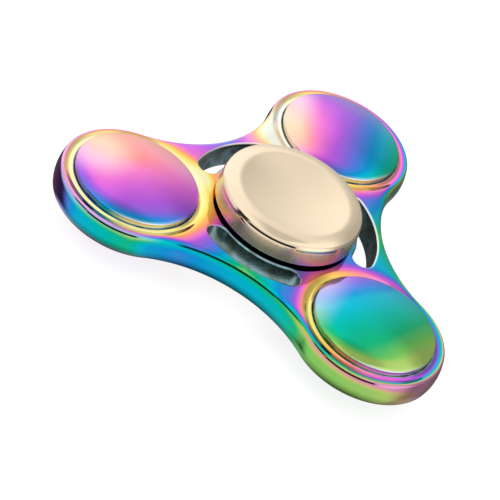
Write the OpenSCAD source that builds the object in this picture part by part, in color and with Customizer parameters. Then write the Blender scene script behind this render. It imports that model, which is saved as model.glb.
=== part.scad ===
// Three-lobed metal fidget spinner on an R188 ball bearing.
// The origin is the centre of the hub at mid-thickness. +Z is the spin axis.
// One lobe points along +Y and the other two follow at 120 degrees.

/* [Body] */
// Distance from the hub centre to each lobe centre
lobe_spacing = 25; // [24:0.5:30]
// Radius of each round lobe at the edge of its deck
lobe_radius = 12.25; // [11.8:0.05:13]
// Radius of the hollow waist curve between two lobes
waist_radius = 22.75; // [20:0.25:26]
// Thickness of the body between its two decks
body_thickness = 5; // [4.8:0.1:6.5]
// How far the side wall bulges outwards at mid-thickness
side_bulge = 0.25; // [0.1:0.05:0.5]
// Drop of the deck over the soft shoulder along its edge
shoulder_drop = 0.25; // [0.1:0.05:0.35]

/* [Slots] */
// Width of each curved slot beside the hub
slot_width = 3.4; // [2.5:0.1:3.6]
// Width of the strip left between a slot and the waist
strip_width = 1.25; // [1:0.05:1.6]
// Angle between the two round ends of a slot
slot_angle = 54; // [30:1:58]

/* [Lobe weights] */
// Diameter of each domed cover
dome_diameter = 20.4; // [18:0.1:20.8]
// Height of the dome's edge above the deck
dome_rise = 0.8; // [0.6:0.05:1.1]
// Rise of the dome's crown above its edge
dome_crown = 1.2; // [0.6:0.1:1.6]
// Diameter of the counterweight inside each lobe
weight_diameter = 16; // [12:0.5:17]

/* [Finger caps] */
// Diameter of the cap's lower band
cap_diameter = 23.9; // [20:0.1:24.4]
// Gap between the body's deck and the cap
cap_gap = 0.6; // [0.4:0.05:1.2]
// Height of the cap from its underside to its rim
cap_height = 4.1; // [3.6:0.05:4.8]
// Depth of the thumb dish in the cap
dish_depth = 0.85; // [0.4:0.05:1.1]

/* [Bearing] */
// Number of balls
ball_count = 10; // [7:1:10]
// Running clearance on each side of a ball
ball_clearance = 0.02; // [0.01:0.005:0.03]

/* [Hidden] */

$fn = 96;
lobes = 3;
half = body_thickness / 2;

// Distance from the hub to the centre of a waist curve, which is tangent to both of its lobes
waist_centre = lobe_spacing / 2
    + sqrt(pow(lobe_radius + waist_radius, 2) - 0.75 * pow(lobe_spacing, 2));
slot_radius = waist_centre - waist_radius - strip_width - slot_width / 2;

// Edge of the body: a soft shoulder, a tight fillet and a bulged side
shoulder_width = 2.8;
edge_fillet = 0.45;
shoulder_steps = 4;
fillet_steps = 5;
side_steps = 8;

// Moat around each dome, cut into the deck
moat_half_width = 0.75;
moat_radius = dome_diameter / 2 + moat_half_width;
moat_depth = 0.25;
moat_arc = (pow(moat_half_width, 2) + pow(moat_depth, 2)) / (2 * moat_depth);

// Seat of the dome and its spigot
seat_depth = 0.8;
dome_seat = half - seat_depth;
dome_edge_height = half + dome_rise;
spigot_depth = 0.5;
dome_wall_fillet = 0.25;
crown_steps = 14;
weight_half = dome_seat - spigot_depth;

// R188 bearing, 1/4 x 1/2 x 3/16 inch
inch = 25.4;
bearing_bore = inch / 4;
bearing_outer = inch / 2;
bearing_width = 3 * inch / 16;
ball_diameter = inch / 16;
pitch_radius = (bearing_bore + bearing_outer) / 4;
bearing_half = bearing_width / 2;
inner_race_outer = 4.25;
outer_race_inner = 5.3;
race_groove = ball_diameter / 2 + ball_clearance;
race_chamfer = 0.2;
shield_height = 1.75;
shield_thickness = 0.2;
shield_inner = 4.45;
shield_seat = 5.75;
clip_height = 1.97;
clip_thickness = 0.16;
clip_inner = 5.55;
clip_groove = 5.95;
clip_gap_angle = 24;

// Ball cage, a crown with an open pocket for each ball
cage_inner = 4.4;
cage_outer = 5.15;
cage_low = -1.45;
cage_high = 0.45;
pocket_radius = ball_diameter / 2 + 0.08;

// Finger caps
cap_radius = cap_diameter / 2;
cap_base = half + cap_gap;
cap_top_z = cap_base + cap_height;
boss_radius = 4.05;
post_clearance = 0.025;
post_radius = bearing_bore / 2 - post_clearance;
post_end = -bearing_half + 0.4;
thread_bore = 2;
thread_bore_end = bearing_half + 1.2;
stud_clearance = 0.04;
stud_radius = thread_bore - stud_clearance;
stud_length = bearing_width + 0.6;
hollow_inner = 5.5;
hollow_outer = cap_radius - 1.55;
hollow_depth = 0.8;
disc_height = 1.55;
disc_inset = 0.03;
seam_depth = 0.12;
seam_chamfer = 0.06;
edge_radii = [2.33, 1.91, 0.25];
edge_tilts = [5, 14, 32, 70];
bevel_width = 2.3;
land_width = 0.45;
dish_steps = 10;

function lobe_angle(i) = 90 + (i - 1) * 360 / lobes;
function polar(r, a) = r * [cos(a), sin(a)];
function lobe_place(i) = polar(lobe_spacing, lobe_angle(i));
function waist_place(i) = polar(waist_centre, lobe_angle(i) + 60);
function to_step(x, step) = round(x / step) * step;

// Points of an arc from angle a to angle b about a centre
function arc(centre, r, a, b, n) =
    [for (k = [0:n]) centre + r * [cos(a + (b - a) * k / n), sin(a + (b - a) * k / n)]];

// Upper half of the edge: how far inside the outline the surface lies, and its height
function shoulder_points() =
    [for (k = [0:shoulder_steps])
        let (s = k / shoulder_steps)
        [shoulder_width - s * (shoulder_width - edge_fillet), half - shoulder_drop * s * s]];

function fillet_points() =
    let (z = half - shoulder_drop - edge_fillet)
    [for (k = [1:fillet_steps])
        let (a = 90 * (1 - k / fillet_steps))
        [edge_fillet * (1 - cos(a)), z + edge_fillet * sin(a)]];

function side_points() =
    let (z = half - shoulder_drop - edge_fillet)
    [for (k = [1:side_steps - 1])
        let (s = 1 - 2 * k / side_steps)
        [-side_bulge * (1 - s * s), z * s]];

function flipped(points) =
    [for (k = [len(points) - 1:-1:0]) [points[k][0], -points[k][1]]];

// The whole edge. Insets end at a tenth of a micron, so lobes and waists share one seam exactly.
function edge_points() =
    let (upper = concat(shoulder_points(), fillet_points()))
    [for (p = concat(upper, side_points(), flipped(upper))) [to_step(p[0], 0.0001), p[1]]];

// Section of a lobe from its centre to its edge
module lobe_section() {
    edge = [for (p = edge_points()) [lobe_radius - p[0], p[1]]];
    polygon(concat([[0, half]], edge, [[0, -half]]));
}

// Section of the material's absence beside a waist
module waist_section() {
    over = half + 1;
    edge = [for (p = edge_points()) [waist_radius + p[0], p[1]]];
    reach = waist_radius + shoulder_width;
    polygon(concat([[0, over], [reach, over]], edge, [[reach, -over], [0, -over]]));
}

// Shift in two steps, a round one and a tiny one, so that no digit of the place is lost
module placed_at(p) {
    near = [to_step(p[0], 0.001), to_step(p[1], 0.001)];
    translate(near) translate(p - near) children();
}

// Wedge around a lobe's outer side, bounded by the lines from its centre to its two waists
module lobe_wedge(i) {
    a = waist_place(i) - lobe_place(i);
    b = waist_place(i - 1) - lobe_place(i);
    out = polar(2 * lobe_spacing, lobe_angle(i));
    placed_at(lobe_place(i))
        translate([0, 0, -body_thickness])
            linear_extrude(2 * body_thickness)
                polygon([[0, 0], b, b + out, a + out, a]);
}

// Rounded outer part of one lobe, between its two waists
module lobe_outer(i) {
    intersection() {
        placed_at(lobe_place(i)) rotate_extrude($fn = 144) lobe_section();
        lobe_wedge(i);
    }
}

// Web between the lobes, hollowed at each waist
module web() {
    corners = [for (i = [1:lobes], side = [0, 1])
        side == 0
            ? polar(1.4 * lobe_spacing, lobe_angle(i))
            : polar(waist_centre, lobe_angle(i) + 60)];
    difference() {
        translate([0, 0, -half])
            linear_extrude(body_thickness)
                polygon(corners);
        for (i = [1:lobes]) {
            placed_at(waist_place(i)) rotate_extrude($fn = 180) waist_section();
            lobe_wedge(i);
        }
    }
}

// One slot: a ring sector with a round hole at each end
module slot() {
    over = body_thickness + 2;
    rotate([0, 0, -slot_angle / 2])
        rotate_extrude(angle = slot_angle, $fn = 144)
            translate([slot_radius - slot_width / 2, -over / 2])
                square([slot_width, over]);
    for (side = [-1, 1])
        rotate([0, 0, side * slot_angle / 2])
            translate([slot_radius, 0, 0])
                cylinder(d = slot_width, h = over, center = true);
}

// Seat for the two domes and the weight between them
module lobe_bore() {
    cylinder(d = weight_diameter, h = body_thickness + 2, center = true);
    for (side = [0, 1])
        mirror([0, 0, side]) {
            translate([0, 0, dome_seat])
                cylinder(d = dome_diameter, h = body_thickness);
            translate([0, 0, half - moat_depth + moat_arc])
                rotate_extrude()
                    translate([moat_radius, 0])
                        circle(r = moat_arc, $fn = 48);
        }
}

// Cast body with the hub bore, three slots and three lobe bores
module frame() {
    color("mediumpurple")
        difference() {
            union() {
                web();
                for (i = [1:lobes]) lobe_outer(i);
            }
            cylinder(d = bearing_outer, h = body_thickness + 2, center = true);
            for (i = [1:lobes]) {
                rotate([0, 0, lobe_angle(i) + 60]) slot();
                rotate([0, 0, lobe_angle(i)]) translate([lobe_spacing, 0, 0]) lobe_bore();
            }
        }
}

// Outer race with the ball groove, the shield seats and the clip grooves
module bearing_outer_race() {
    r = bearing_outer / 2;
    color("silver")
        difference() {
            rotate_extrude()
                polygon([
                    [outer_race_inner, -shield_height], [shield_seat, -shield_height],
                    [shield_seat, -bearing_half], [r - race_chamfer, -bearing_half],
                    [r, -bearing_half + race_chamfer], [r, bearing_half - race_chamfer],
                    [r - race_chamfer, bearing_half], [shield_seat, bearing_half],
                    [shield_seat, shield_height], [outer_race_inner, shield_height]
                ]);
            rotate_extrude()
                translate([pitch_radius, 0])
                    circle(r = race_groove, $fn = 48);
            for (side = [0, 1])
                mirror([0, 0, side])
                    translate([0, 0, clip_height - 0.02])
                        cylinder(r = clip_groove, h = clip_thickness + 0.04);
        }
}

// Inner race with the ball groove
module bearing_inner_race() {
    r = bearing_bore / 2;
    color("silver")
        difference() {
            rotate_extrude()
                polygon([
                    [r, -bearing_half + race_chamfer], [r + race_chamfer, -bearing_half],
                    [inner_race_outer, -bearing_half], [inner_race_outer, bearing_half],
                    [r + race_chamfer, bearing_half], [r, bearing_half - race_chamfer]
                ]);
            rotate_extrude()
                translate([pitch_radius, 0])
                    circle(r = race_groove, $fn = 48);
        }
}

module each_ball_place() {
    for (k = [0:ball_count - 1])
        rotate([0, 0, k * 360 / ball_count])
            translate([pitch_radius, 0, 0])
                children();
}

module bearing_balls() {
    color("gainsboro")
        each_ball_place() sphere(d = ball_diameter, $fn = 48);
}

// Crown cage that keeps the balls apart
module bearing_cage() {
    color("darkgoldenrod")
        difference() {
            rotate_extrude()
                translate([cage_inner, cage_low])
                    square([cage_outer - cage_inner, cage_high - cage_low]);
            each_ball_place() sphere(r = pocket_radius, $fn = 48);
        }
}

// Thin ring shield that closes one side of the bearing
module bearing_shield(side) {
    color("lightgray")
        mirror([0, 0, side])
            translate([0, 0, shield_height])
                rotate_extrude()
                    translate([shield_inner, 0])
                        square([shield_seat - 0.02 - shield_inner, shield_thickness]);
}

// Split spring ring that holds a shield in its seat
module shield_clip(side) {
    color("gray")
        mirror([0, 0, side])
            translate([0, 0, clip_height])
                rotate([0, 0, clip_gap_angle / 2])
                    rotate_extrude(angle = 360 - clip_gap_angle)
                        translate([clip_inner, 0])
                            square([clip_groove - 0.02 - clip_inner, clip_thickness]);
}

// Unit vector at an angle in a section
function way(a) = [cos(a), sin(a)];

// Half section of a cap's head: boss, hollow underside, band, seam, rounded disc, bevel, dish
module cap_section() {
    disc_radius = cap_radius - disc_inset;
    seam = cap_top_z - disc_height;
    edge_foot = [disc_radius, seam + seam_chamfer];
    edge_centres = [for (k = 0, c = edge_foot - edge_radii[0] * way(edge_tilts[0]); k < 3;
        k = k + 1, c = k < 3 ? c + (edge_radii[k - 1] - edge_radii[k]) * way(edge_tilts[k]) : c) c];
    land_outer = disc_radius - bevel_width;
    land_inner = land_outer - land_width;
    dish_arc = (pow(land_inner, 2) + pow(dish_depth, 2)) / (2 * dish_depth);
    dish = [for (k = [0:dish_steps])
        let (x = land_inner * (1 - k / dish_steps))
        [x, cap_top_z - dish_depth + dish_arc - sqrt(pow(dish_arc, 2) - x * x)]];
    polygon(concat(
        [[0, bearing_half], [boss_radius, bearing_half], [boss_radius, cap_base],
         [hollow_inner, cap_base], [hollow_inner, cap_base + hollow_depth],
         [hollow_outer, cap_base + hollow_depth], [hollow_outer, cap_base],
         [cap_radius - seam_chamfer, cap_base], [cap_radius, cap_base + seam_chamfer],
         [cap_radius, seam - seam_chamfer], [cap_radius - seam_depth, seam]],
        [edge_foot],
        [for (k = [0:2], j = [1:3])
            let (turn = edge_tilts[k] + (edge_tilts[k + 1] - edge_tilts[k]) * j / 3)
            edge_centres[k] + edge_radii[k] * way(turn)],
        [[land_outer, cap_top_z]],
        dish
    ));
}

// Upper finger cap with the threaded post that carries the inner race
module cap_top() {
    color("navajowhite")
        difference() {
            union() {
                rotate_extrude() cap_section();
                translate([0, 0, post_end])
                    cylinder(r = post_radius, h = bearing_half - post_end);
            }
            translate([0, 0, post_end - 1])
                cylinder(r = thread_bore, h = thread_bore_end - post_end + 1);
        }
}

// Lower finger cap with the stud that screws into the post
module cap_bottom() {
    color("navajowhite")
        mirror([0, 0, 1]) {
            rotate_extrude() cap_section();
            translate([0, 0, bearing_half - stud_length])
                cylinder(r = stud_radius, h = stud_length);
        }
}

// Domed cover of a lobe: crowned flange on a short spigot
module dome() {
    r = dome_diameter / 2;
    chord = r - dome_wall_fillet;
    crown_arc = (pow(chord, 2) + pow(dome_crown, 2)) / (2 * dome_crown);
    crown = [for (k = [0:crown_steps - 1])
        let (x = chord * (1 - k / crown_steps))
        [x, dome_edge_height + dome_crown - crown_arc + sqrt(pow(crown_arc, 2) - x * x)]];
    rotate_extrude($fn = 144)
        polygon(concat(
            [[0, weight_half], [weight_diameter / 2, weight_half],
             [weight_diameter / 2, dome_seat], [r, dome_seat]],
            arc([chord, dome_edge_height - dome_wall_fillet], dome_wall_fillet, 0, 75, 4),
            crown,
            [[0, dome_edge_height + dome_crown]]
        ));
}

module at_lobe(i) {
    rotate([0, 0, lobe_angle(i)])
        translate([lobe_spacing, 0, 0])
            children();
}

module dome_top(i) {
    color("orchid") at_lobe(i) dome();
}

module dome_bottom(i) {
    color("orchid") at_lobe(i) mirror([0, 0, 1]) dome();
}

module counterweight(i) {
    color("dimgray")
        at_lobe(i) cylinder(d = weight_diameter, h = 2 * weight_half, center = true);
}

frame();
bearing_outer_race();
bearing_inner_race();
bearing_balls();
bearing_cage();
bearing_shield(0);  // bearing_shield_top
bearing_shield(1);  // bearing_shield_bottom
shield_clip(0);  // shield_clip_top
shield_clip(1);  // shield_clip_bottom
cap_top();
cap_bottom();
for (i = [1:lobes]) {
    dome_top(i);
    dome_bottom(i);
    counterweight(i);
}
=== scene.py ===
import math

import bpy
from mathutils import Matrix, Vector, geometry


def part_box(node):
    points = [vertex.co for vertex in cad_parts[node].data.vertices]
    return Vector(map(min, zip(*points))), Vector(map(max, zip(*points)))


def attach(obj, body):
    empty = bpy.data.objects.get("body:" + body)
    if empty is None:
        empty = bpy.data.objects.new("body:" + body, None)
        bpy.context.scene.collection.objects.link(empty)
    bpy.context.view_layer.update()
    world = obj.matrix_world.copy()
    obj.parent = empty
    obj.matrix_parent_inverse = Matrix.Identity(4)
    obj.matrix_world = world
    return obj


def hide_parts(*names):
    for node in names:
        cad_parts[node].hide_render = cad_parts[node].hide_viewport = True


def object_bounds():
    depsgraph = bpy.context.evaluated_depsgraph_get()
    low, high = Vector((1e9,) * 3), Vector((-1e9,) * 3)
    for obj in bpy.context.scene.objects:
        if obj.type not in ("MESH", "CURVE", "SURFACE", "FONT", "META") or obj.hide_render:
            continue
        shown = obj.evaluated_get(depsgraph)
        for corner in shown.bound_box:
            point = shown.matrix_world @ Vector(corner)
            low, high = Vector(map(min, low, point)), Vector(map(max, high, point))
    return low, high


bl_info = {
    "name": "Lobed fidget spinner",
    "version": (1, 0, 0),
    "blender": (4, 5, 0),
    "location": "3D View > Sidebar > Spinner",
    "description": "Models and finishes a rainbow-coated spinner around its CAD frame",
    "category": "Object",
}

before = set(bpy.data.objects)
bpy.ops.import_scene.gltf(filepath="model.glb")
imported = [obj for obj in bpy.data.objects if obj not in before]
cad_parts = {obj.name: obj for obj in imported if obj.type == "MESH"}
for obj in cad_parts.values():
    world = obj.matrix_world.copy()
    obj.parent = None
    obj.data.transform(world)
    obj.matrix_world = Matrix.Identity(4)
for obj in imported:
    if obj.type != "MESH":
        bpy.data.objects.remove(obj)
CAD_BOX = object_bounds()

MM = 0.001
# Points nearer to each other than this are one point
MERGE = 1e-6
LOBES = (1, 2, 3)
FULL_TURN = 2 * math.pi


def node_centre(node):
    low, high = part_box(node)
    return (low + high) / 2


def node_radius(node):
    low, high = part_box(node)
    return (high.x - low.x) / 2


# Places that the CAD frame gives
LOBE_PLACE = {i: node_centre(f"counterweight_{i}") for i in LOBES}
LOBE_ANGLE = {i: math.atan2(LOBE_PLACE[i].y, LOBE_PLACE[i].x) for i in LOBES}
LOBE_SPACING = sum(p.length for p in LOBE_PLACE.values()) / len(LOBES)
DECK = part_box("frame")[1].z
DOME_RADIUS = node_radius("dome_top_1")
DOME_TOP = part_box("dome_top_1")[1].z
WEIGHT_RADIUS = node_radius("counterweight_1")
WEIGHT_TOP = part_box("counterweight_1")[1].z
BEARING_RADIUS = node_radius("bearing_outer_race")
BEARING_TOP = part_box("bearing_inner_race")[1].z
CAP_RADIUS = node_radius("cap_top")
CAP_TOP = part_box("cap_top")[1].z
POST_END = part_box("cap_top")[0].z
STUD_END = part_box("cap_bottom")[1].z
FLOOR_LEVEL = CAD_BOX[0][2]

# Names of the values painted on the meshes for the film's material
FILM_ORDER = "film_order"
# The pale value is partly film worn to pale metal and partly painted highlight
FILM_PALE_AND_HIGHLIGHT = "film_pale_and_highlight"


# ---------------------------------------------------------------- sizes and colours


def length(name, description, default):
    return bpy.props.FloatProperty(
        name=name, description=description, default=default, unit="LENGTH", precision=5
    )


def ratio(name, description, default):
    return bpy.props.FloatProperty(name=name, description=description, default=default, min=0)


def angle(name, description, degrees):
    return bpy.props.FloatProperty(
        name=name, description=description, default=math.radians(degrees), subtype="ANGLE"
    )


def colour(name, description, code):
    return bpy.props.FloatVectorProperty(
        name=name, description=description, default=linear(code), subtype="COLOR", size=3,
        min=0, max=1,
    )


def linear(code):
    """An sRGB hex code as linear red, green and blue."""
    parts = [int(code[i:i + 2], 16) / 255 for i in (1, 3, 5)]
    return tuple(c / 12.92 if c <= 0.04045 else ((c + 0.055) / 1.055) ** 2.4 for c in parts)


class SpinnerSizes(bpy.types.PropertyGroup):
    waist_radius: length("Waist radius", "Radius of the hollow curve between lobes", 22.75 * MM)
    side_bulge: length("Side bulge", "How far the side wall swells at mid-height", 0.25 * MM)
    edge_fillet: length("Edge fillet", "Radius between deck and side wall", 0.45 * MM)
    shoulder_width: length("Shoulder width", "Width of the soft slope along the edge", 2.8 * MM)
    shoulder_drop: length("Shoulder drop", "Drop of the deck over the shoulder", 0.25 * MM)
    moat_width: length("Moat width", "Width of the dip round each dome", 1.7 * MM)
    moat_depth: length("Moat depth", "Depth of the dip round each dome", 0.30 * MM)
    moat_skew: ratio("Moat skew", "Below 1 the dip is deepest near the dome", 0.75)
    moat_softness: ratio("Moat softness", "Above 1 the dip's rims run out more softly", 1.4)
    slot_width: length("Slot width", "Width of each curved slot", 3.4 * MM)
    slot_radius: length("Slot radius", "Radius of the slot's centreline", 14.3 * MM)
    slot_angle: angle("Slot angle", "Angle between a slot's round ends", 54)
    rim_round: length("Rim round", "Rounding of the domes' seats", 0.3 * MM)
    slot_rim: length("Slot rim", "Rounding of the rims of the slots and the hub", 0.38 * MM)
    dome_rise: length("Dome rise", "Height of a dome's edge above the deck", 0.8 * MM)
    seat_depth: length("Seat depth", "Depth of a dome's seat below the deck", 0.8 * MM)
    cap_gap: length("Cap gap", "Height of a finger cap's band above the deck", 0.6 * MM)
    disc_height: length("Disc height", "Height of a finger cap's disc above its seam", 1.55 * MM)
    bevel_width: length("Bevel width", "Width of the slope round the disc", 2.3 * MM)
    land_width: length("Land width", "Width of the flat ring round the thumb dish", 0.45 * MM)
    dish_depth: length("Dish depth", "Depth of the thumb dish", 0.85 * MM)
    mesh_step: length("Mesh step", "Spacing of the deck's mesh", 0.3 * MM)


class SpinnerColours(bpy.types.PropertyGroup):
    plating: colour("Plating", "Champagne plating on the finger caps", "#E9D6B9")
    cast: colour("Bare casting", "Bare metal inside the slots", "#8FA3A6")


# ---------------------------------------------------------------- modelling helpers


def activate(piece):
    bpy.ops.object.select_all(action="DESELECT")
    piece.select_set(True)
    bpy.context.view_layer.objects.active = piece


def edit(piece):
    """Puts a piece into edit mode with all of its mesh selected."""
    activate(piece)
    bpy.ops.object.mode_set(mode="EDIT")
    bpy.ops.mesh.select_all(action="SELECT")


def object_mode():
    bpy.ops.object.mode_set(mode="OBJECT")


def mesh_piece(name, points, edges=(), faces=()):
    mesh = bpy.data.meshes.new(name)
    mesh.from_pydata([tuple(p) for p in points], list(edges), list(faces))
    piece = bpy.data.objects.new(name, mesh)
    bpy.context.scene.collection.objects.link(piece)
    return piece


def spun(name, profile, centre, start, sweep, steps):
    """A profile of (distance, height) points turned about an upright axis through centre."""
    way = Vector((math.cos(start), math.sin(start), 0))
    points = [Vector(centre) + way * r + Vector((0, 0, z)) for r, z in profile]
    piece = mesh_piece(name, points, [(k, k + 1) for k in range(len(points) - 1)])
    edit(piece)
    # The spin operator turns clockwise about a positive axis, so the axis points down
    bpy.ops.mesh.spin(steps=steps, angle=sweep, center=centre, axis=(0, 0, -1))
    bpy.ops.mesh.select_all(action="SELECT")
    bpy.ops.mesh.remove_doubles(threshold=MERGE)
    object_mode()
    return piece


def joined(name, pieces):
    bpy.ops.object.select_all(action="DESELECT")
    for piece in pieces:
        piece.select_set(True)
    bpy.context.view_layer.objects.active = pieces[0]
    bpy.ops.object.join()
    whole = bpy.context.view_layer.objects.active
    whole.name = name
    whole.data.name = name
    return whole


def closed_up(piece, smooth_angle):
    """Merges doubled points, turns faces outwards and shades smooth below an angle."""
    edit(piece)
    bpy.ops.mesh.remove_doubles(threshold=MERGE)
    bpy.ops.mesh.normals_make_consistent(inside=False)
    object_mode()
    activate(piece)
    bpy.ops.object.shade_smooth_by_angle(angle=smooth_angle)
    return piece


def arc_points(centre, radius, start, end, steps):
    """Points (across, up) of an arc in a section, from one angle to another."""
    turn = (end - start) / steps
    return [
        (centre[0] + radius * math.cos(start + turn * k),
         centre[1] + radius * math.sin(start + turn * k))
        for k in range(steps + 1)
    ]


def bent(start, bends):
    """A section line that leaves a point and turns through arcs, by the slope of its normal."""
    points = [start]
    for radius, low, high, steps in bends:
        low, high = math.radians(low), math.radians(high)
        foot = points[-1]
        centre = (foot[0] - radius * math.cos(low), foot[1] - radius * math.sin(low))
        points += arc_points(centre, radius, low, high, steps)[1:]
    return points


# ---------------------------------------------------------------- the body's outline


def signed(turn):
    """An angle brought between minus and plus half a turn."""
    return (turn + math.pi) % FULL_TURN - math.pi


class Arc:
    """One stretch of a rim in plan. inward is +1 if metal lies towards the centre, else -1."""

    def __init__(self, centre, radius, start, sweep, inward, step):
        self.centre = Vector((centre[0], centre[1], 0))
        self.radius = radius
        self.start = start
        self.sweep = sweep
        self.inward = inward
        self.steps = max(8, round(abs(sweep) * radius / step))

    def loop(self, inset):
        """Plan points at a distance into the metal, without the last one."""
        r = self.radius - self.inward * inset
        turn = self.sweep / self.steps
        return [
            Vector((self.centre.x + r * math.cos(self.start + turn * k),
                    self.centre.y + r * math.sin(self.start + turn * k)))
            for k in range(self.steps)
        ]

    def wall(self, section):
        """The section's (inset, height) points spun along the arc."""
        profile = [(self.radius - self.inward * inset, z) for inset, z in section]
        return spun("wall", profile, self.centre, self.start, self.sweep, self.steps)


class BodyPlan:
    """Where the body's metal lies in plan, from the frame's places and the named sizes."""

    def __init__(self, sizes):
        s = self.sizes = sizes
        self.lobe_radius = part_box("frame")[1].y - LOBE_PLACE[1].y - s.side_bulge
        reach = self.lobe_radius + s.waist_radius
        half_spacing = LOBE_SPACING / 2
        self.waist_distance = half_spacing + math.sqrt(reach ** 2 - 3 * half_spacing ** 2)
        # Angle at a lobe's centre between its outward way and the line to a waist's centre
        across = self.waist_distance * math.sin(math.pi / 3)
        along = self.waist_distance * math.cos(math.pi / 3) - LOBE_SPACING
        self.lobe_half_sweep = math.atan2(across, along)
        self.waist_half_sweep = self.lobe_half_sweep - math.pi / 3
        self.waist_angles = [LOBE_ANGLE[i] + math.pi / 3 for i in LOBES]
        self.waists = [self.polar(self.waist_distance, a) for a in self.waist_angles]

    @staticmethod
    def polar(radius, turn):
        return Vector((radius * math.cos(turn), radius * math.sin(turn), 0))

    def outline(self, step):
        """Arcs of the outer edge, anticlockwise."""
        arcs = []
        for i, waist, turn in zip(LOBES, self.waists, self.waist_angles):
            arcs.append(Arc(LOBE_PLACE[i], self.lobe_radius,
                            LOBE_ANGLE[i] - self.lobe_half_sweep, 2 * self.lobe_half_sweep,
                            1, step))
            arcs.append(Arc(waist, self.sizes.waist_radius,
                            turn + math.pi + self.waist_half_sweep, -2 * self.waist_half_sweep,
                            -1, step))
        return arcs

    def slot(self, turn, step):
        """Arcs of one slot's rim."""
        s = self.sizes
        half = s.slot_angle / 2
        r = s.slot_width / 2
        low_end = self.polar(s.slot_radius, turn - half)
        high_end = self.polar(s.slot_radius, turn + half)
        return [
            Arc((0, 0), s.slot_radius + r, turn - half, s.slot_angle, -1, step),
            Arc(high_end, r, turn + half, math.pi, -1, step),
            Arc((0, 0), s.slot_radius - r, turn + half, -s.slot_angle, 1, step),
            Arc(low_end, r, turn - half + math.pi, math.pi, -1, step),
        ]

    def seat(self, i, step):
        return Arc(LOBE_PLACE[i], DOME_RADIUS, 0, FULL_TURN, -1, step)

    def hub(self, step):
        return Arc((0, 0), BEARING_RADIUS, 0, FULL_TURN, -1, step)

    def edge_distance(self, p):
        """Distance from a plan point to the outer edge, positive inside the body."""
        for i in LOBES:
            out = Vector((p.x, p.y, 0)) - LOBE_PLACE[i]
            off_axis = signed(math.atan2(out.y, out.x) - LOBE_ANGLE[i])
            if abs(off_axis) <= self.lobe_half_sweep:
                return self.lobe_radius - out.length
        return min((Vector((p.x, p.y, 0)) - w).length for w in self.waists) - self.sizes.waist_radius

    @staticmethod
    def nearest_lobe(p):
        return min(LOBES, key=lambda i: (p.xy - LOBE_PLACE[i].xy).length)

    def dome_distance(self, p):
        """Distance from a plan point to the nearest dome's wall."""
        return (p.xy - LOBE_PLACE[self.nearest_lobe(p)].xy).length - DOME_RADIUS

    def slot_distance(self, p):
        """Distance from a plan point to the nearest slot's rim."""
        s = self.sizes
        found = []
        for turn in self.waist_angles:
            off = signed(math.atan2(p.y, p.x) - turn)
            if abs(off) <= s.slot_angle / 2:
                near = abs(p.xy.length - s.slot_radius)
            else:
                end = self.polar(s.slot_radius, turn + math.copysign(s.slot_angle / 2, off))
                near = (Vector((p.x, p.y, 0)) - end).length
            found.append(near - s.slot_width / 2)
        return min(found)

    def deck_height(self, p):
        """Height of the deck over a plan point: flat, a soft shoulder, a moat round each dome."""
        s = self.sizes
        fall = min(max((s.shoulder_width - self.edge_distance(p)) / s.shoulder_width, 0), 1)
        across = min(max(self.dome_distance(p) / s.moat_width, 0), 1)
        dip = max(math.sin(math.pi * across ** s.moat_skew), 0) ** s.moat_softness
        return DECK - s.shoulder_drop * fall ** 2 - s.moat_depth * dip


# ---------------------------------------------------------------- the rainbow film


def smooth(start, end, value):
    """0 before start, 1 after end, with a soft rise between them."""
    t = min(max((value - start) / (end - start), 0), 1)
    return t * t * (3 - 2 * t)


def bell(distance, width):
    """1 at no distance, falling off evenly on both sides."""
    return math.exp(-0.5 * (distance / width) ** 2)


def spot(x, y, place, widths):
    """1 at a place, falling off round it; all in millimetres."""
    return bell(x - place[0], widths[0]) * bell(y - place[1], widths[1])


def at_stops(stops, value):
    """The value of a line through (place, value) stops."""
    for (low, start), (high, end) in zip(stops, stops[1:]):
        if value <= high:
            return start + (end - start) * (value - low) / (high - low)
    return stops[-1][1]


# Order of the film along the side wall, by compass angle round the hub in degrees
WALL_FILM_START = 160
WALL_FILM = [
    # From the far waist to the left lobe's end: purple to pink
    (160, .50), (195, .30), (207, .30),
    # Along the left lobe's front: through blue to green
    (213, .40), (219, .58), (223, .68), (230, .73), (235, .79),
    # Along the front waist: back to blue, then slowly to green
    (238, .65), (244, .61), (257, .66), (270, .685), (281, .70), (294, .73),
    # Along the right lobe's front: yellow-green, then pink at its end
    (298, .77), (301, .84), (304, .88), (320, .90), (325, .93), (331, .98), (338, 1.0),
    # Along the right waist and the far lobe: back through green and blue to purple
    (352, .90), (370, .78), (390, .75), (430, .78), (450, .62), (470, .50), (520, .50),
]
# The film is thicker along the top of the wall
WALL_TOP_GAIN = 0.11


def wall_film(p):
    compass = math.degrees(math.atan2(p.y, p.x))
    compass = (compass - WALL_FILM_START) % 360 + WALL_FILM_START
    return at_stops(WALL_FILM, compass) + WALL_TOP_GAIN * smooth(0.6 * MM, 1.9 * MM, p.z)


# Where the deck's film is thinner or thicker than round about: gain, place and widths in mm
FILM_SPOTS = (
    # The far lobe's neck, and left of the hub
    (-0.45, (-9, 18), (3.8, 3.8)),
    (-0.20, (-12.5, 0), (2.5, 2.5)),
    # In front of the front slot
    (0.19, (0, -16), (6, 4.4)),
)
# Where the film is worn to pale metal
PALE_SPOTS = (
    # The far lobe's neck and left side, and the left lobe's end
    (0.45, (-8, 15), (3, 3)),
    (0.20, (-11, 27), (4, 4)),
    (0.20, (-33, -10), (8, 8)),
)


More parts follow.
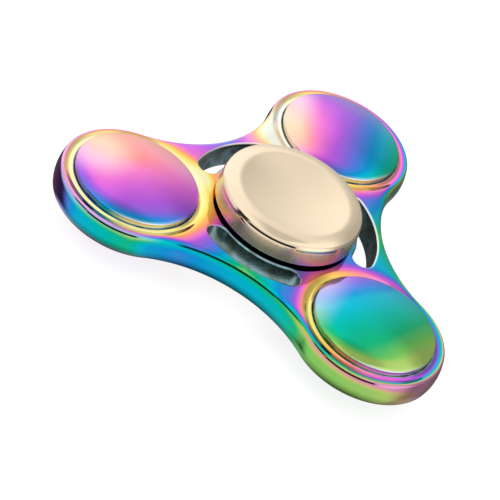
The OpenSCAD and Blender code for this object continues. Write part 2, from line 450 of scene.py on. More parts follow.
def deck_film(plan, p):
    """Thin and yellow round the domes, thicker towards the waists and the outer edge."""
    x, y = p.x / MM, p.y / MM
    lobe = plan.nearest_lobe(p)
    out = p.xy - LOBE_PLACE[lobe].xy
    hubward = max(-out.normalized().dot(LOBE_PLACE[lobe].xy.normalized()), 0)
    edge = plan.edge_distance(p) / MM
    moat = plan.dome_distance(p) / MM
    # How far round to the right and front a point lies: right starts later than front does
    side = x - 0.35 * y
    right = smooth(-5, 12, side)
    front = smooth(-22, 4, side)
    crest = 0.03 + 0.05 * min(max(moat, 0), 2) + 0.018 * max(x + 0.25 * y - 7, 0)
    # From here on the deck turns from yellow through pink to blue; later at the left lobe's neck
    opening = 1.3 + hubward ** 3 if lobe == 2 else 1.15
    opened = (0.23 + 0.11 * right) * smooth(opening, opening + 2.7, moat)
    opened += 0.02 * max(moat - 3.4, 0)
    around = 1 - smooth(1.5, 5, moat)
    rim = (0.06 + around * (0.19 + 0.35 * front)) * bell(edge, 0.42 + 0.11 * front)
    inner = 0.08 * min(max(1 - moat / 0.6, 0), 1)
    spots = sum(gain * spot(x, y, place, widths) for gain, place, widths in FILM_SPOTS)
    return crest + opened + rim + inner + spots


def body_film(plan, p):
    """The deck's film, and the side wall's below the edge."""
    on_edge = plan.edge_distance(p) < 0.6 * MM
    down = smooth(-2.2 * MM, -1.8 * MM, -abs(p.z)) if on_edge else 0
    return deck_film(plan, p) * (1 - down) + wall_film(p) * down


def body_pale_and_highlight(plan, p):
    """How pale the film is: painted highlights along the slots' outer rims and along the edge on the
    left, and a few spots worn to pale metal.
    """
    x, y = p.x / MM, p.y / MM
    edge = plan.edge_distance(p) / MM
    outside = smooth(13.8, 14.8, p.xy.length / MM)
    # Painted highlight along the slots' outer rims
    rim_highlight = 0.8 * outside * smooth(-0.38, -0.2, -plan.slot_distance(p) / MM)
    # Painted highlight along the edge on the left
    line = 0.4 * smooth(-6, -10, x - 0.3 * y) * bell(edge, 0.3)
    spots = [gain * spot(x, y, place, widths) for gain, place, widths in PALE_SPOTS]
    return max(rim_highlight, line, *spots) * smooth(1.2, 2.0, abs(p.z) / MM)


def dome_film(lobe, p):
    """Each dome runs through its own stretch of the film, from its left to its right."""
    x, y = (p.xy - LOBE_PLACE[lobe].xy) / MM
    r = math.hypot(x, y)
    # The film is thicker again along the front of the rim
    front = smooth(7.6, 10.2, r) * min(max(-y / max(r, 1e-6), 0), 1)
    if lobe == 1:
        left = min(x, 0)
        bent_left = -0.0025 * left * y + 0.0012 * left ** 2
        return 0.455 + 0.033 * x + 0.0067 * y + bent_left + 0.10 * front
    if lobe == 2:
        across = 0.65 * x - 0.76 * y
        corners = 0.02 * max(-x - 4, 0) * smooth(3, -3, y) + 0.04 * smooth(2, 8, y)
        slope = 0.022 * max(across, -4) + 0.008 * min(across + 4, 0)
        return 0.31 + slope + corners + 0.17 * front
    across = 0.85 * x - 0.52 * y
    slope = 0.014 * max(across, -4.5) + 0.045 * min(across + 4.5, 0)
    return min(0.75 + slope + 0.009 * max(x - 3, 0) + 0.12 * front, 0.905)


def dome_highlight(lobe, p):
    """Painted highlights: pale patches towards the left of each dome, and a pale edge in front."""
    x, y = (p.xy - LOBE_PLACE[lobe].xy) / MM
    compass = math.degrees(math.atan2(x, -y))
    front = smooth(-5, 20, compass) * smooth(85, 65, compass)
    # Painted highlight along the front of the dome's edge
    edge = 0.8 * front * smooth(-0.25, -0.1, math.hypot(x, y) - DOME_RADIUS / MM)
    # Painted highlight patches towards the left of each dome
    if lobe == 1:
        highlight_patch = 0.50 * smooth(4, 9, -x - 0.3 * y) + 0.15 * smooth(5, 10, y)
    elif lobe == 2:
        highlight_patch = 0.42 * smooth(7.5, 1.5, math.hypot(x + 7.5, y - 0.5)) + 0.22 * smooth(3, 9, y)
    else:
        highlight_patch = 0.36 * smooth(5, 10, -x) * (1 - 0.6 * smooth(2, 7, y))
    return max(highlight_patch, edge)


def paint(piece, name, value_at):
    """Stores a value from 0 to 1 at each point of a mesh."""
    layer = piece.data.attributes.new(name, "FLOAT", "POINT")
    layer.data.foreach_set("value", [min(max(value_at(v.co), 0), 1) for v in piece.data.vertices])


# ---------------------------------------------------------------- materials


def material(name):
    made = bpy.data.materials.new(name)
    made.use_nodes = True
    made.node_tree.nodes.clear()
    return made


def add(tree, kind, settings=None, links=None):
    """Adds a node, sets its attributes and sockets, and links other nodes' outputs to it."""
    made = tree.nodes.new(kind)
    for key, value in (settings or {}).items():
        if isinstance(key, str) and hasattr(made, key):
            setattr(made, key, value)
        else:
            made.inputs[key].default_value = value
    for key, source in (links or {}).items():
        tree.links.new(source, made.inputs[key])
    return made


def set_stops(colour_ramp, stops):
    """Gives a new colour ramp its stops: pairs of a place and an sRGB hex code."""
    while len(colour_ramp.elements) < len(stops):
        colour_ramp.elements.new(1)
    for element, (place, code) in zip(colour_ramp.elements, stops):
        element.position = place
        element.color = (*linear(code), 1)


# Colours of a growing interference film on polished metal, in order of thickness
FILM = [
    (0.00, "#E4E6DA"), (0.06, "#EFE9A8"), (0.12, "#F0D566"), (0.18, "#F5AC5C"),
    (0.24, "#F58A90"), (0.30, "#EE7CC0"), (0.37, "#D566D2"), (0.44, "#AD5AD6"),
    (0.51, "#7E66D6"), (0.57, "#4A7AD8"), (0.63, "#0C8FD0"), (0.69, "#04AFCB"),
    (0.75, "#04B6A2"), (0.81, "#18B476"), (0.87, "#74C45C"), (0.92, "#B4C66A"),
    (0.96, "#D8A888"), (1.00, "#D58FB4"),
]
# Pale metal where the film is worn, also the colour of the painted highlights
PALE_METAL_AND_HIGHLIGHT = "#F2EFE6"


def film_material(name):
    """Mirror-polished metal under a vacuum-coated rainbow film, painted on the mesh.

    The film gives bands of colour that run into each other; the polish gives sharp reflections.
    """
    cloud_spacing = 5.56 * MM
    cloud_shift = 0.012
    haze_spacing = 1.43 * MM
    made = material(name)
    tree = made.node_tree
    place = add(tree, "ShaderNodeTexCoord").outputs["Object"]
    painted = add(tree, "ShaderNodeAttribute", {"attribute_name": FILM_ORDER}).outputs["Fac"]
    pale_and_highlight = add(tree, "ShaderNodeAttribute", {"attribute_name": FILM_PALE_AND_HIGHLIGHT}).outputs["Fac"]
    # Slow clouds make the bands of colour wander a little, as an uneven coating does
    clouds = add(tree, "ShaderNodeTexNoise", {"Scale": 1 / cloud_spacing, "Detail": 2.0},
                 {"Vector": place}).outputs["Fac"]
    drift = add(tree, "ShaderNodeMapRange", {"To Min": -cloud_shift, "To Max": cloud_shift},
                {"Value": clouds}).outputs["Result"]
    order = add(tree, "ShaderNodeMath", {"operation": "ADD"}, {0: painted, 1: drift})
    tint = add(tree, "ShaderNodeValToRGB", links={"Fac": order.outputs["Value"]})
    set_stops(tint.color_ramp, FILM)
    # Where the film is worn the pale metal shows through; the same pale colour is painted highlight
    # on the domes, along the slots' outer rims and along the left edge
    pale_and_highlight_tint = add(tree, "ShaderNodeMix", {"data_type": "RGBA", 7: (*linear(PALE_METAL_AND_HIGHLIGHT), 1)},
                {0: pale_and_highlight, 6: tint.outputs["Color"]})
    # Fine haze breaks the mirror up a little
    haze = add(tree, "ShaderNodeTexNoise", {"Scale": 1 / haze_spacing, "Detail": 4.0},
               {"Vector": place}).outputs["Fac"]
    rough = add(tree, "ShaderNodeMapRange", {"To Min": 0.015, "To Max": 0.05},
                {"Value": haze}).outputs["Result"]
    shader = add(tree, "ShaderNodeBsdfPrincipled", {"Metallic": 1.0},
                 {"Base Color": pale_and_highlight_tint.outputs[2], "Roughness": rough})
    add(tree, "ShaderNodeOutputMaterial", links={"Surface": shader.outputs["BSDF"]})
    return made


def plating_material(name, tint, dish_edge):
    """Champagne plating: polished outside, with long reflections; satin in the thumb dish."""
    haze_spacing = 1.11 * MM
    haze_depth = 0.02
    dish_roughness = 0.20
    outer_roughness = 0.07
    made = material(name)
    tree = made.node_tree
    place = add(tree, "ShaderNodeTexCoord").outputs["Object"]
    flat = add(tree, "ShaderNodeVectorMath", {"operation": "MULTIPLY", 1: (1, 1, 0)}, {0: place})
    out = add(tree, "ShaderNodeVectorMath", {"operation": "LENGTH"}, {0: flat.outputs["Vector"]})
    satin = add(tree, "ShaderNodeMapRange",
                {"From Min": dish_edge - 0.1 * MM, "From Max": dish_edge,
                 "To Min": dish_roughness, "To Max": outer_roughness},
                {"Value": out.outputs["Value"]}).outputs["Result"]
    # The haze keeps the satin from looking like plain plastic
    haze = add(tree, "ShaderNodeTexNoise", {"Scale": 1 / haze_spacing, "Detail": 3.0},
               {"Vector": place}).outputs["Fac"]
    shift = add(tree, "ShaderNodeMapRange", {"To Min": -haze_depth, "To Max": haze_depth},
                {"Value": haze}).outputs["Result"]
    rough = add(tree, "ShaderNodeMath", {"operation": "ADD"}, {0: satin, 1: shift})
    shader = add(tree, "ShaderNodeBsdfPrincipled",
                 {"Metallic": 1.0, "Base Color": (*tint, 1)},
                 {"Roughness": rough.outputs["Value"]})
    add(tree, "ShaderNodeOutputMaterial", links={"Surface": shader.outputs["BSDF"]})
    return made


def band_material(name, tint):
    """Champagne plating over a band brushed round its axis, which smears light up and down."""
    grain_spacing = 0.4 * MM
    made = material(name)
    tree = made.node_tree
    place = add(tree, "ShaderNodeTexCoord").outputs["Object"]
    round_axis = add(tree, "ShaderNodeTangent", {"direction_type": "RADIAL", "axis": "Z"})
    # The brush marks are finer than this on the real band; they are as coarse as they must
    # be to show
    grain = add(tree, "ShaderNodeTexNoise", {"Scale": 1 / grain_spacing, "Detail": 3.0},
                {"Vector": place}).outputs["Fac"]
    depth = add(tree, "ShaderNodeMapRange", {"To Min": 0.80, "To Max": 1.0},
                {"Value": grain}).outputs["Result"]
    shade = add(tree, "ShaderNodeMix",
                {"data_type": "RGBA", "blend_type": "MULTIPLY", 0: 1.0, 6: (*tint, 1)},
                {7: depth})
    shader = add(tree, "ShaderNodeBsdfPrincipled",
                 {"Metallic": 1.0, "Roughness": 0.30, "Anisotropic": 0.95,
                  "Anisotropic Rotation": 0.25},
                 {"Base Color": shade.outputs[2], "Tangent": round_axis.outputs["Tangent"]})
    add(tree, "ShaderNodeOutputMaterial", links={"Surface": shader.outputs["BSDF"]})
    return made


def steel_material(name, dark, light, roughness):
    """Bare steel between a dark and a light shade, with a haze of fine tool or handling marks."""
    shade_spacing = 2.5 * MM
    haze_spacing = 1.11 * MM
    haze_depth = 0.05
    made = material(name)
    tree = made.node_tree
    place = add(tree, "ShaderNodeTexCoord").outputs["Object"]
    patches = add(tree, "ShaderNodeTexNoise", {"Scale": 1 / shade_spacing, "Detail": 3.0},
                  {"Vector": place}).outputs["Fac"]
    tint = add(tree, "ShaderNodeValToRGB", links={"Fac": patches})
    set_stops(tint.color_ramp, [(0.3, dark), (0.7, light)])
    haze = add(tree, "ShaderNodeTexNoise", {"Scale": 1 / haze_spacing, "Detail": 3.0},
               {"Vector": place}).outputs["Fac"]
    rough = add(tree, "ShaderNodeMapRange",
                {"To Min": roughness - haze_depth, "To Max": roughness + haze_depth},
                {"Value": haze}).outputs["Result"]
    shader = add(tree, "ShaderNodeBsdfPrincipled", {"Metallic": 1.0},
                 {"Base Color": tint.outputs["Color"], "Roughness": rough})
    add(tree, "ShaderNodeOutputMaterial", links={"Surface": shader.outputs["BSDF"]})
    return made


def cast_material(name, tint):
    """Bare cast zinc inside the slots: dark grey-green mottling with fine pits."""
    patch_spacing = 3.03 * MM
    pit_spacing = 1.11 * MM
    pit_depth = 0.05 * MM
    made = material(name)
    tree = made.node_tree
    place = add(tree, "ShaderNodeTexCoord").outputs["Object"]
    # Patches run from a dark green stain through pale metal to blue-grey
    patches = add(tree, "ShaderNodeTexNoise", {"Scale": 1 / patch_spacing, "Detail": 4.0},
                  {"Vector": place}).outputs["Fac"]
    stain = add(tree, "ShaderNodeValToRGB", links={"Fac": patches})
    set_stops(stain.color_ramp, [(0.30, "#1C3A34"), (0.45, "#667C74"), (0.58, "#8CB2BC"),
                                 (0.72, "#2C6070")])
    mottled = add(tree, "ShaderNodeMix", {"data_type": "RGBA", 0: 0.25, 7: (*tint, 1)},
                  {6: stain.outputs["Color"]})
    grain = add(tree, "ShaderNodeTexNoise", {"Scale": 1 / pit_spacing, "Detail": 5.0},
                {"Vector": place}).outputs["Fac"]
    pits = add(tree, "ShaderNodeBump", {"Strength": 0.5, "Distance": pit_depth},
               {"Height": grain})
    shader = add(tree, "ShaderNodeBsdfPrincipled", {"Metallic": 1.0, "Roughness": 0.22},
                 {"Base Color": mottled.outputs[2], "Normal": pits.outputs["Normal"]})
    add(tree, "ShaderNodeOutputMaterial", links={"Surface": shader.outputs["BSDF"]})
    return made


# ---------------------------------------------------------------- operators


class SPINNER_OT_body(bpy.types.Operator):
    """Models the cast body: one half as a pressed deck with spun rims, mirrored"""

    bl_idname = "spinner.body"
    bl_label = "Body"

    def execute(self, context):
        sizes = context.scene.spinner_sizes
        plan = BodyPlan(sizes)
        step = sizes.mesh_step
        edge_section = self.edge_section(sizes)
        edge_inset = edge_section[0][0]
        hole_section = self.rim_section(sizes.slot_rim) + [(0, 0)]
        outline = plan.outline(step)
        slots = [plan.slot(turn, step) for turn in plan.waist_angles]
        seats = [plan.seat(i, step) for i in LOBES]
        hub = plan.hub(step)
        loops = [(outline, edge_inset), ([hub], sizes.slot_rim)]
        loops += [(slot, sizes.slot_rim) for slot in slots]
        loops += [([seat], sizes.moat_width) for seat in seats]
        walls = [arc.wall(edge_section) for arc in outline] + [hub.wall(hole_section)]
        walls += [arc.wall(hole_section) for slot in slots for arc in slot]
        walls += [seat.wall(self.seat_section(sizes)) for seat in seats]
        deck = self.deck(plan, loops, edge_inset)
        half = joined("frame_body", [deck] + walls)
        self.press(plan, half)
        activate(half)
        mirror = half.modifiers.new("Lower half", "MIRROR")
        mirror.use_axis = (False, False, True)
        mirror.merge_threshold = MERGE
        bpy.ops.object.modifier_apply(modifier=mirror.name)
        body = closed_up(half, math.radians(40))
        paint(body, FILM_ORDER, lambda p: body_film(plan, p))
        # Painted highlights along the slots' outer rims and the left edge, and pale spots of worn
        # film
        paint(body, FILM_PALE_AND_HIGHLIGHT, lambda p: body_pale_and_highlight(plan, p))
        body.data.materials.append(film_material("rainbow_film_on_polished_zinc"))
        cast = context.scene.spinner_colours.cast
        body.data.materials.append(cast_material("bare_cast_zinc_and_painted_shade", cast))
        # Bare casting on the slots' walls; on the rims next to the caps and on the domes' seats it
        # is painted shade
        for face in body.data.polygons:
            if self.is_bare_or_painted_shade(plan, face):
                face.material_index = 1
        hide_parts("frame")
        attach(body, "rotor")
        return {"FINISHED"}

    @staticmethod
    def is_bare_or_painted_shade(plan, face):
        """The film stops at the slots' walls, their rims next to the caps and the domes' seats; the
        dark casting on those rims and seats is painted shade under the caps and in the grooves round
        the domes.
        """
        sizes = plan.sizes
        place = face.center
        reach = plan.slot_distance(place)
        slot_wall = abs(face.normal.z) < 0.3 and reach < 0.05 * MM
        # Dark casting on the slots' rims next to the caps is painted shade under the caps
        painted_shade_by_cap = reach < 0.3 * MM and place.xy.length < sizes.slot_radius - MM
        # Dark casting on the seats' rounded rims is painted shade in the grooves round the domes
        seat = plan.dome_distance(place) < 0.7 * sizes.rim_round
        return slot_wall or painted_shade_by_cap or seat

    @staticmethod
    def seat_section(sizes):
        """From the moat's outer rim over a rounded rim into a dome's seat and the weight's bore."""
        rings = 16
        ring_width = (sizes.moat_width - sizes.rim_round) / rings
        moat = [(sizes.moat_width - ring_width * k, DECK) for k in range(rings)]
        floor = DECK - sizes.seat_depth
        bore = WEIGHT_RADIUS - DOME_RADIUS
        rim = SPINNER_OT_body.rim_section(sizes.rim_round)
        return moat + rim + [(0, floor), (bore, floor), (bore, 0)]

    @staticmethod
    def rim_section(radius):
        """A quarter round from the deck down into a hole."""
        steps = 6
        turns = [math.pi / 2 * k / steps for k in range(steps + 1)]
        return [(radius * (1 - math.sin(turn)), DECK - radius * (1 - math.cos(turn)))
                for turn in turns]

    @staticmethod
    def edge_section(sizes):
        """Half section of the outer edge: a tight fillet, then a bulged side down to mid-height."""
        side_tilt = math.radians(15)
        top_tilt = math.radians(79)
        fillet_rise = sizes.edge_fillet * (math.sin(top_tilt) - math.sin(side_tilt))
        side_radius = (DECK - fillet_rise) / math.sin(side_tilt)
        side = arc_points((sizes.side_bulge - side_radius, 0), side_radius, 0, side_tilt, 8)
        foot = side[-1]
        hollow = (foot[0] - sizes.edge_fillet * math.cos(side_tilt),
                  foot[1] - sizes.edge_fillet * math.sin(side_tilt))
        fillet = arc_points(hollow, sizes.edge_fillet, side_tilt, top_tilt, 8)
        return [(-out, z) for out, z in reversed(side + fillet[1:])]

    @staticmethod
    def deck(plan, loops, edge_inset):
        """Flat deck between all rims, as even triangles."""
        points = []
        edges = []
        for arcs, inset in loops:
            first = len(points)
            for arc in arcs:
                points += arc.loop(inset)
            count = len(points) - first
            edges += [(first + k, first + (k + 1) % count) for k in range(count)]
        step = plan.sizes.mesh_step
        # Grid points keep this far off the rims, so that no triangle is a sliver
        margin = 0.55 * step
        reach = LOBE_SPACING + plan.lobe_radius
        row = step * math.sqrt(3) / 2
        rows = int(reach / row)
        columns = int(reach / step)

        def clear(p, gap):
            return (plan.edge_distance(p) > edge_inset + gap
                    and plan.dome_distance(p) > plan.sizes.moat_width + gap
                    and plan.slot_distance(p) > plan.sizes.slot_rim + gap
                    and p.length > BEARING_RADIUS + plan.sizes.slot_rim + gap)

        for j in range(-rows, rows + 1):
            for i in range(-columns, columns + 1):
                p = Vector((step * (i + 0.5 * (j % 2)), row * j))
                if clear(p, margin):
                    points.append(p)
        inside_edges = 1
        same_place = 1e-9
        flat, _, triangles, *_ = geometry.delaunay_2d_cdt(points, edges, [], inside_edges,
                                                          same_place)
        kept = [t for t in triangles
                if clear((flat[t[0]] + flat[t[1]] + flat[t[2]]) / 3, 0)]
        return mesh_piece("deck", [(p.x, p.y, DECK) for p in flat], faces=kept)

    @staticmethod
    def press(plan, half):
        """Presses the shoulder and the moats into the flat half, keeping mid-height level."""
        for vertex in half.data.vertices:
            vertex.co.z *= plan.deck_height(vertex.co) / DECK


class SPINNER_OT_domes(bpy.types.Operator):
    """Models the domed covers of the lobes, above and below"""

    bl_idname = "spinner.domes"
    bl_label = "Domes"

    def execute(self, context):
        sizes = context.scene.spinner_sizes
        wall_round = 0.22 * MM
        fit_gap = 0.04 * MM
        radius = DOME_RADIUS - fit_gap
        seat = DECK - sizes.seat_depth
        edge = DECK + sizes.dome_rise
        chord = radius - wall_round
        crown = DOME_TOP - edge
        crown_radius = (chord ** 2 + crown ** 2) / (2 * crown)
        tilt = math.asin(chord / crown_radius)
        over = arc_points((0, DOME_TOP - crown_radius), crown_radius,
                          math.pi / 2 - tilt, math.pi / 2, 24)
        turn = arc_points((chord, edge - wall_round), wall_round, 0, math.pi / 2 - tilt, 5)
        section = [(0, WEIGHT_TOP), (WEIGHT_RADIUS, WEIGHT_TOP), (WEIGHT_RADIUS, seat),
                   (radius, seat)] + turn + over[1:]
        finish = film_material("rainbow_film_on_pressed_steel")
        for i in LOBES:
            for side, up in (("top", 1), ("bottom", -1)):
                name = f"dome_{side}_{i}"
                profile = [(r, z * up) for r, z in section]
                dome = spun(f"{name}_cover", profile, LOBE_PLACE[i].xy.to_3d(), 0, FULL_TURN, 128)
                closed_up(dome, math.radians(30))
                paint(dome, FILM_ORDER, lambda p: dome_film(i, p))
                # Painted highlights on the dome: pale patches on its left and a pale line along its
                # front edge
                paint(dome, FILM_PALE_AND_HIGHLIGHT, lambda p: dome_highlight(i, p))
                dome.data.materials.append(finish)
                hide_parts(name)
                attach(dome, "rotor")
        return {"FINISHED"}


class SPINNER_OT_caps(bpy.types.Operator):
    """Models the two finger caps with their post and stud"""

    bl_idname = "spinner.caps"
    bl_label = "Finger caps"

    def execute(self, context):
        sizes = context.scene.spinner_sizes
        plating = context.scene.spinner_colours.plating
        seam = CAP_TOP - sizes.disc_height
        # The satin of the dish ends about half-way over its land
        dish_edge = CAP_RADIUS - sizes.bevel_width - 0.55 * sizes.land_width
        satin = plating_material("champagne_plating", plating, dish_edge)
        brushed = band_material("brushed_champagne_band", plating)
        for side, node, up in (("upper", "cap_top", 1), ("lower", "cap_bottom", -1)):
            profile = [(r, z * up) for r, z in self.section(sizes, has_bore=up > 0)]
            cap = spun(f"{side}_finger_cap", profile, (0, 0, 0), 0, FULL_TURN, 160)
            closed_up(cap, math.radians(30))
            cap.data.materials.append(satin)
            cap.data.materials.append(brushed)
            for face in cap.data.polygons:
                outer = face.center.xy.length > CAP_RADIUS - 0.05 * MM
                if outer and abs(face.normal.z) < 0.1 and abs(face.center.z) < seam:
                    face.material_index = 1
            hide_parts(node)
            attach(cap, "hub")
        return {"FINISHED"}

    @staticmethod
    def section(sizes, has_bore):
        """Closed half section from the axis below the dish, round the outside, to the axis."""
        base = DECK + sizes.cap_gap
        seam = CAP_TOP - sizes.disc_height
        seam_depth = 0.12 * MM
        soft = 0.06 * MM
        disc = CAP_RADIUS - 0.03 * MM
        # The disc's edge leans in slowly at first, then turns sharply into the bevel
        edge = bent((disc, seam + soft),
                    [(2.33 * MM, 5, 14, 6), (1.91 * MM, 14, 32, 8), (0.25 * MM, 32, 70, 5)])
        land_outer = disc - sizes.bevel_width
        dish_rim = land_outer - sizes.land_width
        dish_radius = (dish_rim ** 2 + sizes.dish_depth ** 2) / (2 * sizes.dish_depth)
        dish_tilt = math.asin(dish_rim / dish_radius)
        dish_centre = (0, CAP_TOP - sizes.dish_depth + dish_radius)
        dish = arc_points(dish_centre, dish_radius, -math.pi / 2 + dish_tilt, -math.pi / 2, 24)
        # Below the band the cap is hollow round a boss that stands on the inner race
        boss = 4.05 * MM
        hollow_inner = 5.5 * MM
        hollow_outer = CAP_RADIUS - 1.55 * MM
        hollow_roof = base + 0.8 * MM
        if has_bore:
            post = 3.15 * MM
            bore = 2.0 * MM
            bore_end = BEARING_TOP + 1.2 * MM
            start = [(0, bore_end), (bore, bore_end), (bore, POST_END), (post, POST_END),
                     (post, BEARING_TOP)]
        else:
            stud = 1.96 * MM
            start = [(0, -STUD_END), (stud, -STUD_END), (stud, BEARING_TOP)]
        return (
            start
            + [(boss, BEARING_TOP), (boss, base), (hollow_inner, base),
               (hollow_inner, hollow_roof), (hollow_outer, hollow_roof), (hollow_outer, base)]
            + arc_points((CAP_RADIUS - soft, base + soft), soft, -math.pi / 2, 0, 3)
            + arc_points((CAP_RADIUS - soft, seam - soft), soft, 0, math.pi / 3, 3)
            + [(CAP_RADIUS - seam_depth, seam)]
            + edge
            + [(land_outer, CAP_TOP)]
            + dish
        )


class SPINNER_OT_bearing(bpy.types.Operator):
    """Gives the bearing's pieces and the counterweights their steel finishes"""

    bl_idname = "spinner.bearing"
    bl_label = "Bearing and weights"

    def execute(self, context):
        races = ("bearing_outer_race", "bearing_inner_race")
        shields = ("bearing_shield_top", "bearing_shield_bottom")
        clips = ("shield_clip_top", "shield_clip_bottom")
        weights = tuple(f"counterweight_{i}" for i in LOBES)
        # Ground and polished pieces mirror; pressed, rolled and turned ones are duller
        finishes = {
            steel_material("ground_bearing_steel", "#BFC1C5", "#CDCFD1", 0.2): races,
            steel_material("polished_ball_steel", "#CFD0D4", "#D8D9DB", 0.1): ("bearing_balls",),
            steel_material("pressed_cage_steel", "#978F7E", "#ABA594", 0.35): ("bearing_cage",),
            steel_material("rolled_shield_steel", "#AEB0B3", "#BCBEBF", 0.3): shields,
            steel_material("spring_wire_steel", "#606266", "#74767A", 0.3): clips,
            steel_material("turned_weight_steel", "#7B7D82", "#8F9195", 0.35): weights,
        }
        for finish, names in finishes.items():
            for name in names:
                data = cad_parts[name].data
                data.materials.clear()
                data.materials.append(finish)
        return {"FINISHED"}


# The room's light by direction, white being 1. Each zone has its light outside and inside, then
# the soft steps that bound it: ahead and behind are degrees round the room towards the right,
# counted from the front and from the back, and height is degrees above the spinner's level
WALL_ZONES = (
    # Bright at the window on the left of the back, dimmer on the right and far on the left
    (1.32, 0.56, ("behind", -24, 22)),
    (1.0, 0.76, ("behind", -50, -75)),
    (1.0, 1.78, ("behind", 75, 100)),
)
ROOF_ZONES = (
    (1.02, 1.2, ("behind", -8, -22)),
)
# What multiplies the light of wall and roof
ROOM_ZONES = (
    # Lamp under the ceiling on the right
    (1.0, 1.22, ("height", 44, 50), ("behind", 12, 24), ("ahead", 120, 130)),
    # Darker ceiling overhead, and a darker foot of the wall at the back
    (1.0, 0.72, ("height", 57, 63), ("behind", 24, 14), ("behind", -34, -14)),
    (1.0, 0.76, ("height", 24, 6), ("behind", -40, -30), ("behind", 40, 30)),
    # Bright opening on the right, low down, and the darker corner beyond it
    (1.0, 1.33, ("height", -16, -12), ("height", 30, 25), ("ahead", 40, 60), ("ahead", 104, 94)),
    (1.0, 0.65, ("height", -12, -8), ("height", 14, 4), ("ahead", 98, 122), ("ahead", 172, 165)),
    # Dark cards in front and on the left
    (1.0, 0.04, ("ahead", -64, -54), ("ahead", -30, -38), ("height", -10, -7),
     ("height", 36, 22)),
    (1.0, 0.03, ("ahead", -38, -30), ("ahead", 46, 38), ("height", -12, -9), ("height", 13, 8)),
    (1.0, 0.07, ("ahead", -64, -90), ("height", -56, -46), ("height", -18, -24)),
    # Dimmer table under the spinner, more so on the right and straight below
    (1.0, 0.60, ("ahead", 60, 100), ("height", -50, -40), ("height", 0, -14)),
    (1.0, 0.65, ("ahead", 115, 145), ("height", -50, -40), ("height", -10, -25)),
    (1.0, 0.60, ("height", -42, -62)),
    (1.0, 0.30, ("height", -56, -72)),
)


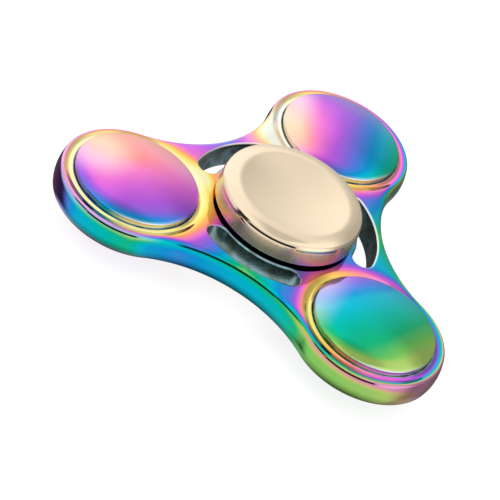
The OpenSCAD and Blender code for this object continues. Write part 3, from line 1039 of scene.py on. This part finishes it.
class SPINNER_OT_stage(bpy.types.Operator):
    """Sets up the floor, the soft studio light and the camera"""

    bl_idname = "spinner.stage"
    bl_label = "Stage"

    def execute(self, context):
        bpy.ops.object.select_all(action="DESELECT")
        bpy.ops.mesh.primitive_plane_add(size=4, location=(0, 0, FLOOR_LEVEL))
        floor = context.active_object
        floor.name = "floor"
        bpy.ops.object.transform_apply(location=True, rotation=True, scale=True)
        floor.data.materials.append(self.floor_finish())
        floor.visible_glossy = False
        self.world(context)
        self.camera(context)
        context.scene.view_settings.view_transform = "Standard"
        return {"FINISHED"}

    @staticmethod
    def floor_finish():
        """White paper: its own glow keeps it white, and the rest takes the soft shadow."""
        grey = 0.42
        made = material("white_paper")
        tree = made.node_tree
        shade = add(tree, "ShaderNodeBsdfDiffuse", {"Color": (grey, grey, grey, 1)})
        glow = add(tree, "ShaderNodeEmission", {"Color": (1, 1, 1, 1), "Strength": 0.78})
        both = add(tree, "ShaderNodeAddShader",
                   links={0: shade.outputs["BSDF"], 1: glow.outputs["Emission"]})
        add(tree, "ShaderNodeOutputMaterial", links={"Surface": both.outputs["Shader"]})
        return made

    @staticmethod
    def world(context):
        """A white studio with dark cards, seen in the metal; plain white to the camera."""
        world = bpy.data.worlds.new("white_studio")
        context.scene.world = world
        world.use_nodes = True
        tree = world.node_tree
        tree.nodes.clear()
        way = add(tree, "ShaderNodeTexCoord")
        axis = add(tree, "ShaderNodeSeparateXYZ", links={"Vector": way.outputs["Generated"]})
        toward = add(tree, "ShaderNodeMath", {"operation": "MULTIPLY", 1: -1.0},
                     {0: axis.outputs["Y"]})
        # Both angles run towards the right: ahead is 0 in front, behind is 0 at the back
        ahead = add(tree, "ShaderNodeMath", {"operation": "ARCTAN2"},
                    {0: axis.outputs["X"], 1: toward.outputs["Value"]})
        behind = add(tree, "ShaderNodeMath", {"operation": "ARCTAN2"},
                     {0: axis.outputs["X"], 1: axis.outputs["Y"]})
        sources = {"ahead": ahead.outputs["Value"], "behind": behind.outputs["Value"],
                   "height": axis.outputs["Z"]}

        def soft_step(source, start, end):
            """0 before the start and 1 after the end, in degrees round or up the room."""
            measure = math.sin if source == "height" else float
            low, high = (measure(math.radians(degrees)) for degrees in (start, end))
            return add(tree, "ShaderNodeMapRange",
                       {"interpolation_type": "SMOOTHSTEP", "From Min": low, "From Max": high},
                       {"Value": sources[source]}).outputs["Result"]

        def product(values):
            whole = values[0]
            for value in values[1:]:
                whole = add(tree, "ShaderNodeMath", {"operation": "MULTIPLY"},
                            {0: whole, 1: value}).outputs["Value"]
            return whole

        def light_of(zones):
            gains = []
            for outside, inside, *steps in zones:
                mask = product([soft_step(*step) for step in steps])
                gain = add(tree, "ShaderNodeMapRange", {"To Min": outside, "To Max": inside},
                           {"Value": mask})
                gains.append(gain.outputs["Result"])
            return product(gains)

        around = add(tree, "ShaderNodeMix", {"data_type": "FLOAT"},
                     {0: soft_step("height", 37, 52), 2: light_of(WALL_ZONES),
                      3: light_of(ROOF_ZONES)}).outputs[0]
        light = product([around, light_of(ROOM_ZONES)])
        studio = add(tree, "ShaderNodeBackground", {"Color": (1, 1, 1, 1)}, {"Strength": light})
        white = add(tree, "ShaderNodeBackground", {"Color": (1, 1, 1, 1), "Strength": 1.0})
        path = add(tree, "ShaderNodeLightPath")
        mix = add(tree, "ShaderNodeMixShader",
                  links={"Fac": path.outputs["Is Camera Ray"], 1: studio.outputs["Background"],
                         2: white.outputs["Background"]})
        add(tree, "ShaderNodeOutputWorld", links={"Surface": mix.outputs["Shader"]})

    @staticmethod
    def camera(context):
        """A long lens from the front, well above, with the spinner turned in the frame."""
        azimuth = math.radians(5.564)
        elevation = math.radians(38.215)
        roll = math.radians(28.0)
        distance = 520.2 * MM
        target = Vector((-1.26 * MM, -9.13 * MM, 0))
        data = bpy.data.cameras.new("camera")
        data.lens = 239.56
        data.sensor_width = 36
        data.clip_end = 10
        camera = bpy.data.objects.new("camera", data)
        context.scene.collection.objects.link(camera)
        back = Vector((math.sin(azimuth) * math.cos(elevation),
                       -math.cos(azimuth) * math.cos(elevation), math.sin(elevation)))
        camera.location = target + back * distance
        level = (-back).to_track_quat("-Z", "Y")
        camera.rotation_euler = (level.to_matrix() @ Matrix.Rotation(roll, 3, "Z")).to_euler()
        context.scene.camera = camera


class SPINNER_PT_panel(bpy.types.Panel):
    """Lists the spinner's sizes, colours and building steps"""

    bl_idname = "SPINNER_PT_panel"
    bl_label = "Fidget spinner"
    bl_space_type = "VIEW_3D"
    bl_region_type = "UI"
    bl_category = "Spinner"

    def draw(self, context):
        for group in (context.scene.spinner_sizes, context.scene.spinner_colours):
            for name in group.__annotations__:
                self.layout.prop(group, name)
        for step in STEPS:
            self.layout.operator(step.bl_idname)


STEPS = (SPINNER_OT_body, SPINNER_OT_domes, SPINNER_OT_caps, SPINNER_OT_bearing, SPINNER_OT_stage)
CLASSES = (SpinnerSizes, SpinnerColours, *STEPS, SPINNER_PT_panel)


def register():
    for kind in CLASSES:
        bpy.utils.register_class(kind)
    bpy.types.Scene.spinner_sizes = bpy.props.PointerProperty(type=SpinnerSizes)
    bpy.types.Scene.spinner_colours = bpy.props.PointerProperty(type=SpinnerColours)


def unregister():
    del bpy.types.Scene.spinner_colours
    del bpy.types.Scene.spinner_sizes
    for kind in reversed(CLASSES):
        bpy.utils.unregister_class(kind)


def main():
    register()
    bpy.ops.spinner.body()
    bpy.ops.spinner.domes()
    bpy.ops.spinner.caps()
    bpy.ops.spinner.bearing()
    bpy.ops.spinner.stage()


if __name__ == "__main__":
    main()
